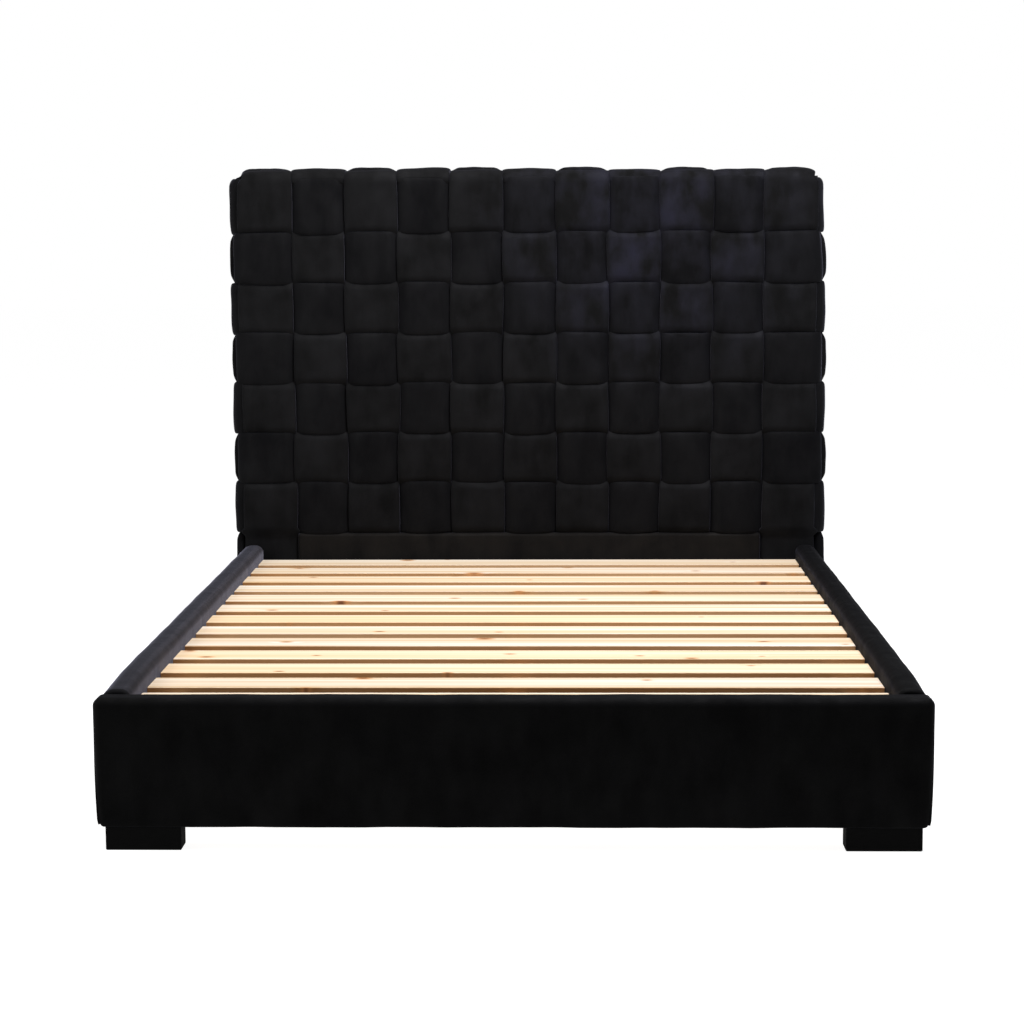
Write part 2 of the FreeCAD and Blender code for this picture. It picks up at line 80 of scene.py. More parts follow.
def newMaterial(name, **sockets):
    material = bpy.data.materials.new(name)
    material.use_nodes = True
    tree = material.node_tree
    shader = tree.nodes["Principled BSDF"]
    for key, value in sockets.items():
        shader.inputs[key].default_value = value
    return material, tree, shader


def rampOf(tree, factor, stops):
    ramp = addNode(tree, "ShaderNodeValToRGB", {"Fac": factor})
    elements = ramp.color_ramp.elements
    while len(elements) < len(stops):
        elements.new(0.5)
    for element, (at, colour) in zip(elements, stops):
        element.position = at
        element.color = linearColour(colour) if isinstance(colour, str) else (colour,) * 3 + (1,)
    return ramp.outputs["Color"]


def smooth(x):
    # 0 below 0, 1 above 1, and an S-shaped rise between them
    x = np.clip(x, 0, 1)
    return x * x * (3 - 2 * x)


def gridFaces(rows, columns, closed):
    # quads between neighbouring rows; closed joins the last column to the first
    across = columns if closed else columns - 1
    r, c = np.meshgrid(np.arange(rows - 1), np.arange(across), indexing="ij")
    n = (c + 1) % columns
    this, above = r * columns, (r + 1) * columns
    quads = np.stack([this + c, this + n, above + n, above + c], -1)
    return quads.reshape(-1, 4)


def makePiece(name, points, faces, material, replaced=(), ends=()):
    # a mesh object at the origin; ends lists rings that are closed by a fan to their middle
    points, polygons = np.asarray(points, float).reshape(-1, 3), [tuple(f) for f in faces.tolist()]
    for ring, reverse in ends:
        middle = len(points)
        points = np.vstack([points, points[ring].mean(0)])
        for a, b in zip(ring, np.roll(ring, -1)):
            polygons.append((int(b), int(a), middle) if reverse else (int(a), int(b), middle))
    mesh = bpy.data.meshes.new(name)
    mesh.from_pydata(points.tolist(), [], polygons)
    mesh.polygons.foreach_set("use_smooth", [True] * len(mesh.polygons))
    mesh.update()
    piece = bpy.data.objects.new(name, mesh)
    bpy.context.scene.collection.objects.link(piece)
    mesh.materials.append(material)
    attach(piece, bodyName)
    if replaced:
        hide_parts(*replaced)
    return piece


def dressNode(names, material):
    # a better material on CAD nodes whose shape stays
    for name in names:
        for slot in nodes[name].material_slots:
            slot.material = material


# materials
velvetLook = {"pile": "#060607", "brushed": "#0c0c0d", "patch": 0.10, "fibre": 0.0022,
              "creaseSize": 0.045, "sheen": 0.10, "sheenRoughness": 0.35,
              "sheenTint": "#c9c9e0", "foldDepth": 0.004, "fibreDepth": 0.0008,
              "roughest": 0.88, "smoothest": 0.60}


def velvet(name, pile, brushed, sheen=velvetLook["sheen"], sheenPatch=None):
    # Short-pile polyester velvet: near black from the front, a cool glow where the pile
    # is seen edge on, and soft uneven patches where a hand has brushed it.
    look = velvetLook
    material, tree, shader = newMaterial(name, **{
        "Specular IOR Level": 0.05, "Sheen Weight": sheen,
        "Sheen Roughness": look["sheenRoughness"], "Sheen Tint": linearColour(look["sheenTint"])})
    place = addNode(tree, "ShaderNodeTexCoord").outputs["Object"]
    patches = addNode(tree, "ShaderNodeTexNoise",
                      {"Vector": place, "Scale": 1 / look["patch"], "Detail": 5, "Roughness": 0.6})
    stretched = addNode(tree, "ShaderNodeMapping", {"Vector": place, "Scale": (1, 1, 0.4)})
    streaks = addNode(tree, "ShaderNodeTexNoise",
                      {"Vector": stretched.outputs[0], "Scale": 1 / look["creaseSize"],
                       "Detail": 3})
    both = addNode(tree, "ShaderNodeMath", {0: patches.outputs["Fac"], 1: streaks.outputs["Fac"]},
                   operation="ADD")
    half = addNode(tree, "ShaderNodeMath", {0: both.outputs[0], 1: 0.5}, operation="MULTIPLY")
    fibre = addNode(tree, "ShaderNodeTexNoise",
                    {"Vector": place, "Scale": 1 / look["fibre"], "Detail": 2, "Roughness": 0.7})
    colour = rampOf(tree, half.outputs[0], [(0.36, pile), (0.64, brushed)])
    speck = rampOf(tree, fibre.outputs["Fac"], [(0.25, 0.70), (0.75, 1.0)])
    mixed = addNode(tree, "ShaderNodeMixRGB", {"Fac": 1.0, "Color1": colour, "Color2": speck},
                    blend_type="MULTIPLY")
    result = mixed.outputs[0]
    if sheenPatch:
        # painted sheen: a bluish glow that fades out with the distance from its place, broken up by
        # the patches
        gone = addNode(tree, "ShaderNodeVectorMath", {0: place, 1: sheenPatch["at"]},
                       operation="DISTANCE")
        close = addNode(tree, "ShaderNodeMapRange",
                        {"Value": gone.outputs["Value"], "From Min": sheenPatch["core"],
                         "From Max": sheenPatch["reach"], "To Min": 1, "To Max": 0})
        broken = rampOf(tree, half.outputs[0], [(0.42, 0.0), (0.68, 1.0)])
        amount = addNode(tree, "ShaderNodeMath", {0: close.outputs[0], 1: broken},
                         operation="MULTIPLY")
        glow = addNode(tree, "ShaderNodeMixRGB", {"Fac": amount.outputs[0], "Color1": result,
                                                  "Color2": linearColour(sheenPatch["colour"])})
        result = glow.outputs[0]
    tree.links.new(result, shader.inputs["Base Color"])
    rough = addNode(tree, "ShaderNodeMapRange",
                    {"Value": half.outputs[0], "From Min": 0.35, "From Max": 0.65,
                     "To Min": look["roughest"], "To Max": look["smoothest"]})
    tree.links.new(rough.outputs[0], shader.inputs["Roughness"])
    fold = addNode(tree, "ShaderNodeBump", {"Height": streaks.outputs["Fac"],
                                            "Distance": look["foldDepth"], "Strength": 0.35})
    bump = addNode(tree, "ShaderNodeBump", {"Height": fibre.outputs["Fac"],
                                            "Distance": look["fibreDepth"], "Strength": 0.5,
                                            "Normal": fold.outputs[0]})
    tree.links.new(bump.outputs[0], shader.inputs["Normal"])
    return material


pineLook = {"early": "#e2d8c8", "late": "#c8aa82", "heart": "#cfb48c", "honey": "#d8bb92",
            "edge": "#c2a07a", "knot": "#5d3216", "knotRing": "#b07a48", "ringSpacing": 0.016,
            "knotSpacing": 0.36, "ringDepth": 0.0005, "roughness": 0.55, "slatPitch": 0.154,
            "firstSlat": -1.0315}


def pine(name, pitch=pineLook["slatPitch"], first=pineLook["firstSlat"], shade=1.0):
    # Planed Baltic pine: pale earlywood, thin honey latewood lines along the board, a few
    # small brown knots, and each board a little different from the next.
    look = pineLook
    material, tree, shader = newMaterial(name, **{"Roughness": look["roughness"],
                                                  "Specular IOR Level": 0.35})
    place = addNode(tree, "ShaderNodeTexCoord").outputs["Object"]
    parts = addNode(tree, "ShaderNodeSeparateXYZ", {0: place})
    from0 = addNode(tree, "ShaderNodeMath", {0: parts.outputs["Y"], 1: first},
                    operation="SUBTRACT")
    boards = addNode(tree, "ShaderNodeMath", {0: from0.outputs[0], 1: pitch}, operation="DIVIDE")
    board = addNode(tree, "ShaderNodeMath", {0: boards.outputs[0]}, operation="FLOOR")
    chance = addNode(tree, "ShaderNodeTexWhiteNoise", {"W": board.outputs[0]},
                     noise_dimensions="1D")
    away = addNode(tree, "ShaderNodeVectorMath", {0: chance.outputs["Color"], 1: (9, 5, 7)},
                   operation="MULTIPLY")
    moved = addNode(tree, "ShaderNodeVectorMath", {0: place, 1: away.outputs[0]}, operation="ADD")
    knotPlace = addNode(tree, "ShaderNodeMapping", {"Vector": moved.outputs[0],
                                                    "Scale": (0.45, 1, 0)})
    knots = addNode(tree, "ShaderNodeTexVoronoi", {"Vector": knotPlace.outputs[0],
                                                   "Scale": 1 / look["knotSpacing"] * 2.2},
                    voronoi_dimensions="2D")
    # each knot has its own size, from a pin knot to a full one
    luck = addNode(tree, "ShaderNodeSeparateXYZ", {0: knots.outputs["Color"]})
    bigness = addNode(tree, "ShaderNodeMapRange",
                      {"Value": luck.outputs["X"], "To Min": 3.2, "To Max": 0.75})
    knotGap = addNode(tree, "ShaderNodeMath", {0: knots.outputs["Distance"], 1: bigness.outputs[0]},
                      operation="MULTIPLY").outputs[0]
    near = addNode(tree, "ShaderNodeMapRange", {"Value": knotGap, "From Min": 0.0,
                                                "From Max": 0.20, "To Min": 1.0, "To Max": 0.0})
    bend = addNode(tree, "ShaderNodeMath", {0: near.outputs[0], 1: 0.010}, operation="MULTIPLY")
    bent = addNode(tree, "ShaderNodeVectorMath", {0: moved.outputs[0], 1: bend.outputs[0]},
                   operation="ADD")
    along = addNode(tree, "ShaderNodeMapping", {"Vector": bent.outputs[0],
                                                "Scale": (0.012, 1, 0.8)})
    rings = addNode(tree, "ShaderNodeTexNoise",
                    {"Vector": along.outputs[0], "Scale": 1 / look["ringSpacing"], "Detail": 3,
                     "Roughness": 0.5, "Distortion": 0.2})
    wide = addNode(tree, "ShaderNodeTexNoise", {"Vector": along.outputs[0], "Scale": 22,
                                                "Detail": 2})
    streak = rampOf(tree, wide.outputs["Fac"], [(0.46, 0.0), (0.66, 0.85)])
    grain = rampOf(tree, rings.outputs["Fac"], [(0.42, look["early"]), (0.66, look["late"])])
    toned = addNode(tree, "ShaderNodeMixRGB", {"Fac": streak, "Color1": grain,
                                               "Color2": linearColour(look["heart"])})
    # about one board in three is yellower heartwood
    yellow = rampOf(tree, chance.outputs["Value"], [(0.55, 0.0), (0.80, 0.50)])
    tone = addNode(tree, "ShaderNodeMixRGB", {"Fac": yellow, "Color1": toned.outputs[0],
                                              "Color2": linearColour(look["honey"])})
    boardShade = rampOf(tree, chance.outputs["Value"], [(0.0, 0.86 * shade), (1.0, shade)])
    varied = addNode(tree, "ShaderNodeMixRGB",
                     {"Fac": 1.0, "Color1": tone.outputs[0], "Color2": boardShade},
                     blend_type="MULTIPLY")
    # the planed top is pale; the sawn edges are browner and also carry painted shade, darkened by
    # which way they face
    facing = addNode(tree, "ShaderNodeSeparateXYZ",
                     {0: addNode(tree, "ShaderNodeNewGeometry").outputs["Normal"]})
    sides = addNode(tree, "ShaderNodeMath", {0: facing.outputs["Y"]}, operation="ABSOLUTE")
    sawnAndShadedEdges = addNode(tree, "ShaderNodeMixRGB", {"Fac": sides.outputs[0], "Color1": varied.outputs[0],
                                               "Color2": linearColour(look["edge"])},
                    blend_type="MULTIPLY")
    ring = rampOf(tree, knotGap, [(0.040, 1.0), (0.090, 0.0)])
    core = rampOf(tree, knotGap, [(0.016, 0.9), (0.044, 0.0)])
    halo = addNode(tree, "ShaderNodeMixRGB", {"Fac": ring, "Color1": sawnAndShadedEdges.outputs[0],
                                              "Color2": linearColour(look["knotRing"])})
    final = addNode(tree, "ShaderNodeMixRGB", {"Fac": core, "Color1": halo.outputs[0],
                                               "Color2": linearColour(look["knot"])})
    tree.links.new(final.outputs[0], shader.inputs["Base Color"])
    bump = addNode(tree, "ShaderNodeBump", {"Height": rings.outputs["Fac"],
                                            "Distance": look["ringDepth"], "Strength": 0.35})
    tree.links.new(bump.outputs[0], shader.inputs["Normal"])
    return material


# painted shade: the frame is blackened beyond these places, so that the gaps where the bands part
# show dark, not pale wood
frameShadeEdge = {"side": 0.788, "top": 1.332, "shadeBlack": "#060606"}


def speckled(name, light, dark, size, bump, stretch=(1, 1, 1), painted=False, **sockets):
    # one noise at the finish's real grain size, for its colour and its relief; painted blackens the
    # outer edges of the headboard frame as painted shade for the gaps where the bands part
    material, tree, shader = newMaterial(name, **sockets)
    place = addNode(tree, "ShaderNodeTexCoord").outputs["Object"]
    scaled = addNode(tree, "ShaderNodeMapping", {"Vector": place, "Scale": stretch})
    grain = addNode(tree, "ShaderNodeTexNoise", {"Vector": scaled.outputs[0], "Scale": 1 / size,
                                                 "Detail": 4, "Roughness": 0.65})
    colour = rampOf(tree, grain.outputs["Fac"], [(0.3, dark), (0.7, light)])
    if painted:
        # painted shade: black beyond the frame's sides and top
        parts = addNode(tree, "ShaderNodeSeparateXYZ", {0: place})
        aside = addNode(tree, "ShaderNodeMath", {0: parts.outputs["X"]}, operation="ABSOLUTE")
        side = addNode(tree, "ShaderNodeMath", {0: aside.outputs[0], 1: frameShadeEdge["side"]},
                       operation="GREATER_THAN")
        top = addNode(tree, "ShaderNodeMath", {0: parts.outputs["Z"], 1: frameShadeEdge["top"]},
                      operation="GREATER_THAN")
        either = addNode(tree, "ShaderNodeMath", {0: side.outputs[0], 1: top.outputs[0]},
                         operation="MAXIMUM")
        edgeShade = addNode(tree, "ShaderNodeMixRGB", {"Fac": either.outputs[0], "Color1": colour,
                                                   "Color2": linearColour(frameShadeEdge["shadeBlack"])})
        colour = edgeShade.outputs[0]
    tree.links.new(colour, shader.inputs["Base Color"])
    relief = addNode(tree, "ShaderNodeBump", {"Height": grain.outputs["Fac"],
                                              "Distance": bump, "Strength": 0.5})
    tree.links.new(relief.outputs[0], shader.inputs["Normal"])
    return material


def wovenCloth(name, light, dark, thread, **sockets):
    # plain weave: two crossed waves one thread apart, lit and shaded as over and under
    material, tree, shader = newMaterial(name, **sockets)
    place = addNode(tree, "ShaderNodeTexCoord").outputs["Object"]
    waves = [addNode(tree, "ShaderNodeTexWave",
                     {"Vector": place, "Scale": 1 / thread / 20, "Distortion": 0.6},
                     bands_direction=way, wave_profile="SIN") for way in ("X", "Z")]
    crossed = addNode(tree, "ShaderNodeMath",
                      {0: waves[0].outputs["Fac"], 1: waves[1].outputs["Fac"]},
                      operation="MULTIPLY")
    slub = addNode(tree, "ShaderNodeTexNoise", {"Vector": place, "Scale": 1 / thread / 3,
                                                "Detail": 3})
    weight = addNode(tree, "ShaderNodeMath", {0: crossed.outputs[0], 1: slub.outputs["Fac"]},
                     operation="MULTIPLY")
    colour = rampOf(tree, weight.outputs[0], [(0.0, dark), (0.6, light)])
    tree.links.new(colour, shader.inputs["Base Color"])
    relief = addNode(tree, "ShaderNodeBump", {"Height": crossed.outputs[0], "Distance": thread / 4,
                                              "Strength": 0.6})
    tree.links.new(relief.outputs[0], shader.inputs["Normal"])
    return material


# black velvet strips in lit and shaded copies of one cloth: the upright ones are painted paler
# than the crosswise ones, painted light on their nap, and both carry a painted bluish sheen high on
# the right
# where the painted bluish sheen sits, high on the right of the headboard
sheenPatchPlace = {"at": (0.34, 0.96, 1.24), "core": 0.1, "reach": 0.52}
uprightVelvetLit = velvet("blackVelvetUprightLit", "#080808", "#101011",
                       sheenPatch={**sheenPatchPlace, "colour": "#16161f"})
crossVelvetShaded = velvet("blackVelvetCrosswiseShaded", velvetLook["pile"], velvetLook["brushed"],
                     sheenPatch={**sheenPatchPlace, "colour": "#101016"})
# the same cloth in lit and shaded copies, its nap laid down the foot rail, towards the floor along
# the left rail, away from it along the right rail, and up the lower panel: painted shade darkens
# the foot rail and the right rail, painted light brightens the left rail, and painted warm light
# from the pine the lower panel
railVelvetShaded = velvet("blackVelvetNapDownShaded", "#040404", "#050505", 0.06)
leftVelvetLit = velvet("blackVelvetNapForwardLit", "#0a0a0a", "#101011", 0.34)
rightVelvetShaded = velvet("blackVelvetNapBackShaded", "#030303", "#050505", 0.03)
panelVelvetLit = velvet("blackVelvetNapUpLit", "#0d0c0b", "#151311")
pineMaterial = pine("planedPine")
# rough-sawn spruce of the headboard frame and the beam, its outer edges blackened as painted shade
sawnSpruce = speckled("sawnSpruce", "#dcc196", "#b8925f", 0.004, 0.0008, (0.06, 1, 0.06), True,
                      Roughness=0.75)
# birch plywood face board: fine pores along the sheet, its outer edges blackened as painted shade
birchPly = speckled("birchPlywood", "#dcc8a2", "#c3a473", 0.003, 0.0004, (0.1, 1, 1), True,
                    Roughness=0.65)
# particle board core of the rails: chips two or three millimetres long
chipBoard = speckled("particleBoard", "#c8a878", "#8f6f46", 0.0025, 0.0005, Roughness=0.8)
# polyurethane foam coloured charcoal, painted shade where it shows between the bands: open cells of
# about a millimetre
foamDarkAsShade = speckled("charcoalFoamAsShade", "#141415", "#0a0a0b", 0.0012, 0.0006,
                    **{"Roughness": 0.95, "Specular IOR Level": 0.1})
# black stained and lacquered hardwood of the block feet, faint pores along the grain
stainedWood = speckled("blackStainedWood", "#101010", "#0c0c0c", 0.0018, 0.0003, (0.08, 1, 1),
                       **{"Roughness": 0.6, "IOR": 1.03})
# powder-coated steel: a fine orange peel about a millimetre across
coatedSteel = speckled("powderCoatedSteel", "#1a1a1b", "#131314", 0.0012, 0.0002, Roughness=0.45)
# zinc-plated steel: pale blue-grey with soft crystals
zincSteel = speckled("zincPlatedSteel", "#b9bec4", "#949aa1", 0.004, 0.0001, Metallic=1.0,
                     Roughness=0.34)
# nylon glide: dull black moulding
blackNylon = speckled("blackNylon", "#202021", "#171718", 0.002, 0.0002, Roughness=0.5)
# spun polypropylene lining, tacked over the back
liningMaterial = wovenCloth("spunLining", "#1c1c1d", "#0c0c0d", 0.0024,
                            **{"Roughness": 0.9, "Specular IOR Level": 0.15})
# white cotton tape that holds the slats at their spacing
tapeMaterial = wovenCloth("cottonTape", "#e6e1d4", "#bdb6a4", 0.0022, Roughness=0.9)

slats = [name for name in nodes if name.startswith("slat_") and name[5:].isdigit()]
dressNode(slats, pineMaterial)
# the pitch is longer than the bed, so each of these is one board
dressNode(["slat_ledger_left", "slat_ledger_right", "centre_beam", "centre_leg_front",
           "centre_leg_rear"], pine("beamPine", pitch=9, first=-4, shade=0.92))
dressNode(["headboard_post_left", "headboard_post_right", "headboard_cross_rails"], sawnSpruce)
dressNode(["headboard_face_board"], birchPly)
dressNode(["foot_rail_core", "side_rail_left_core", "side_rail_right_core"], chipBoard)
dressNode(["rail_foam", "headboard_foam"], foamDarkAsShade)
dressNode(["slat_tapes"], tapeMaterial)
dressNode(["block_feet"], stainedWood)
dressNode(["corner_brackets"], coatedSteel)
dressNode(["beam_hangers", "bed_bolts"], zincSteel)
dressNode(["glide_front", "glide_rear"], blackNylon)
print("materials made")

# woven headboard
weave = {"columns": 11, "rows": 7, "rowPitch": 0.142, "topMargin": 0.011, "sideMargin": 0.003,
         "web": 0.005, "tail": 0.003, "tailLength": 0.04, "tailRamp": 0.01, "crown": 0.0275,
         "ramp": 0.050, "tuck": 0.020, "columnRamp": 0.044, "columnTuck": 0.025, "arch": 0.10,
         "rowBow": (0.0042, 0.0006), "columnBow": (0.0012, 0.0012), "edgeBow": (0.0, 0.0),
         "lap": 0.0008, "pinch": 0.006, "pastCorner": 0.014, "widthRamp": 0.012,
         "widthTuck": 0.014, "cornerRadius": 0.012, "edgeRamp": 0.055, "edgeTuck": 0.028,
         "edgeArch": 0.20, "edgeInset": 0.002, "topSquash": (1.0, 0.70), "footThick": 0.30,
         "leanHeights": (0.43, 0.85, 1.13, 1.24), "leanRight": (0.008, 0.003, 0.001, -0.0085),
         "leanLeft": 0.0026, "leanStart": 0.012, "shoulder": (0.066, 0.050),
         "shift": 0.007, "shiftAt": 0.15, "shiftReach": 0.34, "edgePower": 4.2,
         "unevenEdge": 0.0016, "unevenRise": 0.0012, "unevenSkew": 0.0009, "unevenTip": 0.0010,
         "wrinkle": 0.0007, "wrinkleFrom": 0.015, "hollowUntil": 0.012, "bareRamp": 0.02,
         "overStep": 0.0052, "underStep": 0.010, "acrossPoints": 25}
arcPoints = 13      # on every rounded corner of a path or of a rail's section

foamLow, foamHigh = [np.array(c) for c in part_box("headboard_foam")]
edgeX, edgeZ, coreFront = foamHigh[0], foamHigh[2], foamLow[1]
coreBack = np.array(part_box("headboard_post_right")[1])[1]
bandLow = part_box("lower_panel")[0][2]
columnPitch = (edgeX - weave["sideMargin"]) * 2 / weave["columns"]


def handShift(x):
    # the bands right of the middle sit a little further over, as laid by hand
    return weave["shift"] * np.exp(-((x - weave["shiftAt"]) / weave["shiftReach"]) ** 2)


def leanOut(points):
    # the wraps stand out unevenly down the right side, and evenly down the left
    x, z = points[..., 0], points[..., 2]
    outside = np.clip((np.abs(x) - edgeX) / weave["leanStart"], 0, 1)
    rightLean = np.interp(z, weave["leanHeights"], weave["leanRight"])
    slope = np.where(x > 0, rightLean, -weave["leanLeft"])
    points[..., 0] += slope * outside
    # both top shoulders are rounded: a square corner's points move in to its inscribed
    # ellipse, each by the larger of its two shares over their length
    wide, tall = weave["shoulder"]
    a = (np.abs(points[..., 0]) - (edgeX + weave["crown"] - wide)) / wide
    b = (z - (edgeZ + weave["crown"] - tall)) / tall
    corner = (a > 0) & (b > 0)
    a, b = a[corner], b[corner]
    share = np.maximum(a, b) / np.hypot(a, b)
    points[corner, 0] -= np.sign(points[corner, 0]) * a * (1 - share) * wide
    points[corner, 2] -= b * (1 - share) * tall
    return points


inner = (np.arange(1, weave["columns"]) - weave["columns"] / 2) * columnPitch
columnLines = np.concatenate([[-edgeX], inner + handShift(inner), [edgeX]])
rowLines = edgeZ - weave["topMargin"] - np.arange(weave["rows"], 0, -1) * weave["rowPitch"]
rowLines = np.concatenate([rowLines, [edgeZ]])


def roundedPath(corners, radius, step=0.0015):
    # straight runs joined by arcs: the place along it of every point, the points, their
    # tangents, and the place of each corner's middle
    corners = [np.array(c, float) for c in corners]
    points = [corners[0]]
    for before, corner, after in zip(corners, corners[1:], corners[2:]):
        a = (before - corner) / np.linalg.norm(before - corner)
        b = (after - corner) / np.linalg.norm(after - corner)
        centre = corner + (a + b) * radius
        angles = np.linspace(0, math.pi / 2, arcPoints)[:, None]
        points.append(centre - b * radius * np.cos(angles) - a * radius * np.sin(angles))
    points.append(corners[-1])
    line = np.vstack(points)
    lengths = np.concatenate([[0], np.cumsum(np.linalg.norm(np.diff(line, axis=0), axis=1))])
    middles = [lengths[1 + arcPoints * k + arcPoints // 2] for k in range(len(corners) - 2)]
    places = np.unique(np.concatenate([lengths, np.arange(0, lengths[-1], step)]))
    dense = np.stack([np.interp(places, lengths, line[:, k]) for k in (0, 1)], -1)
    tangent = np.gradient(dense, places, axis=0)
    tangent /= np.linalg.norm(tangent, axis=1)[:, None]
    return places, dense, tangent, np.array(middles)


def bandSurface(path, outward, cells, centre, halfWidth, toSpace, seed, endRise, ramp, tuck,
                arch, bow, bare=(0, 0)):
    # A padded strip carried along a path. Across it the section is a pillow,
    # (1 - |v|^p)^(1/p). Along it the outer side rises from the flat web to the crown
    # where a cell is over, and dives under its neighbours at both ends of the cell.
    rng = np.random.default_rng(seed)
    places, dense, tangent, _ = path
    stations = []
    for start, end, over in cells:
        step = weave["overStep"] if over else weave["underStep"]
        count = max(6, int(round((end - start) / step)))
        x = np.linspace(-1, 1, count + 1)
        bent = np.sin(np.pi / 2 * x) * 0.6 + x * 0.4
        stations.append(start + (bent + 1) / 2 * (end - start))
    s = np.unique(np.round(np.concatenate(stations), 6))
    base = np.stack([np.interp(s, places, dense[:, k]) for k in (0, 1)], -1)
    along = np.stack([np.interp(s, places, tangent[:, k]) for k in (0, 1)], -1)
    along /= np.linalg.norm(along, axis=1)[:, None]
    normal = np.stack([along[:, 1], -along[:, 0]], -1) * outward

    web, crown = weave["web"], weave["crown"]
    rise = np.interp(s, *endRise)       # the flat strip's own thickness
    lift = np.zeros_like(s)
    wide = np.full_like(s, halfWidth - weave["pinch"])
    sideLow, sideHigh, tip = np.zeros_like(s), np.zeros_like(s), np.zeros_like(s)
    for start, end, over in cells:
        if not over:
            continue
        reach = smooth((s - start + tuck) / ramp) * smooth((end + tuck - s) / ramp)
        spread = (smooth((s - start + weave["widthTuck"]) / weave["widthRamp"])
                 * smooth((end + weave["widthTuck"] - s) / weave["widthRamp"]))
        u = np.clip((2 * s - start - end) / (end - start), -1, 1)
        high = (crown - web) * (1 - arch * u * u) + rng.normal(0, weave["unevenRise"])
        lift += reach * high * over
        wide += spread * (weave["pinch"] + weave["lap"])
        sideLow -= spread * bow[0] * (1 - u * u)
        sideHigh += spread * bow[1] * (1 - u * u)
        for side in (sideLow, sideHigh):
            side += (reach * rng.normal(0, weave["unevenEdge"])
                     + reach * u * rng.normal(0, weave["unevenSkew"]))
        tip += reach * rng.normal(0, weave["unevenTip"])
    outer = rise + lift
    # nothing passes under it within bare[0] of its start and bare[1] of its end
    covered = (smooth((s - bare[0]) / weave["bareRamp"] + 1)
               * smooth((places[-1] - bare[1] - s) / weave["bareRamp"] + 1))
    under = web * smooth(lift / weave["hollowUntil"]) * covered

    x = np.linspace(-1, 1, weave["acrossPoints"])
    v = np.sin(np.pi / 2 * np.sin(np.pi / 2 * x))
    power = weave["edgePower"]
    crownShape = np.clip(1 - np.abs(v) ** power, 0, 1) ** (1 / power)
    middle, half = (outer + under) / 2, (outer - under) / 2
    waves = rng.uniform(0, 2 * np.pi, 6)
    S, V = s[:, None], v[None, :]
    ripple = (np.sin(S * 61 + 2.1 * V + waves[0]) * np.sin(V * 3.1 + waves[1])
              + 0.7 * np.sin(S * 97 - 3.0 * V + waves[2])
              + 0.5 * np.sin(S * 37 + 4.3 * V + waves[3]))
    ripple = (ripple * weave["wrinkle"] * (1 - V ** 4)
              * smooth(lift / weave["wrinkleFrom"])[:, None])
    top = middle[:, None] + half[:, None] * crownShape[None, :] + ripple + tip[:, None] * V
    backV = v[1:-1:3][::-1]
    backShape = np.clip(1 - np.abs(backV) ** power, 0, 1) ** (1 / power)
    bottom = middle[:, None] - half[:, None] * backShape[None, :]
    across = np.concatenate([v, backV])
    height = np.concatenate([top, bottom], 1)
    lowEdge, highEdge = centre - wide + sideLow, centre + wide + sideHigh
    sideways = ((lowEdge + highEdge)[:, None] / 2
                + (highEdge - lowEdge)[:, None] / 2 * across[None, :])
    flat = base[:, None, :] + normal[:, None, :] * height[..., None]
    return leanOut(toSpace(flat, sideways)), len(s), len(across)


def wovenBand(name, replaced, bow, ramp=weave["ramp"], tuck=weave["tuck"], arch=weave["arch"],
              material=crossVelvetShaded, **shape):
    points, rows, columns = bandSurface(ramp=ramp, tuck=tuck, arch=arch, bow=bow, **shape)
    faces = gridFaces(rows, columns, True)
    first, last = np.arange(columns), np.arange((rows - 1) * columns, rows * columns)
    ends = [(first, True), (last, False)]
    piece = makePiece(name, points, faces, material, replaced, ends)
    fixFacing(piece)
    return piece


def fixFacing(piece):
    # a closed shell whose signed volume is negative is inside out
    mesh = piece.data
    mesh.calc_loop_triangles()
    triangles = np.empty(len(mesh.loop_triangles) * 3, np.int32)
    mesh.loop_triangles.foreach_get("vertices", triangles)
    points = np.empty(len(mesh.vertices) * 3)
    mesh.vertices.foreach_get("co", points)
    a, b, c = points.reshape(-1, 3)[triangles.reshape(-1, 3)].transpose(1, 0, 2)
    if np.einsum("ij,ij->", a, np.cross(b, c)) < 0:
        mesh.flip_normals()


def roundCorners(cells, corners):
    # an over cell that ends at a corner of the board runs on a little way past it
    past = weave["pastCorner"]
    return [(start - past if over and start in corners else start,
             end + past if over and end in corners else end, over) for start, end, over in cells]


def isColumnOver(row, column):
    # rows from the top, the top face is row -1; columns from the left, a side is -1
    return (row + column) % 2 == 0


for column in range(weave["columns"]):
    outer = column in (0, weave["columns"] - 1)
    path = roundedPath([(bandLow, coreFront), (edgeZ, coreFront), (edgeZ, coreBack),
                        (edgeZ - weave["tailLength"], coreBack)], weave["cornerRadius"])
    lines = rowLines - bandLow
    lines[-1] = path[3][0]
    overs = [isColumnOver(row, column) for row in range(weave["rows"] - 1, -1, -1)]
    # an outer column runs on, half as thick, beside the lower panel
    cells = [(0, lines[0], weave["footThick"] if outer else 0)]
    cells += [(lines[k], lines[k + 1], overs[k]) for k in range(weave["rows"])]
    squash = weave["topSquash"][column > weave["columns"] // 2]
    cells.append((path[3][0], path[3][1], 0 if overs[-1] else squash))
    cells.append((path[3][1], path[0][-1], 0))
    start, end = columnLines[column], columnLines[column + 1]
    rises = ([0, path[3][1] - weave["tailRamp"], path[3][1] + weave["tailRamp"], path[0][-1]],
             [weave["web"], weave["web"], weave["tail"], weave["tail"]])
    wovenBand(f"weaveColumn{column + 1:02d}", [f"weave_column_{column + 1:02d}"],
              weave["columnBow"], ramp=weave["columnRamp"], tuck=weave["columnTuck"],
              material=uprightVelvetLit, path=path, outward=1,
              cells=roundCorners(cells, path[3][:1]), centre=(start + end) / 2,
              halfWidth=(end - start) / 2,
              toSpace=lambda flat, side: np.stack([side, flat[..., 1], flat[..., 0]], -1),
              seed=100 + column, endRise=rises, bare=(lines[0] if outer else 0, 0))

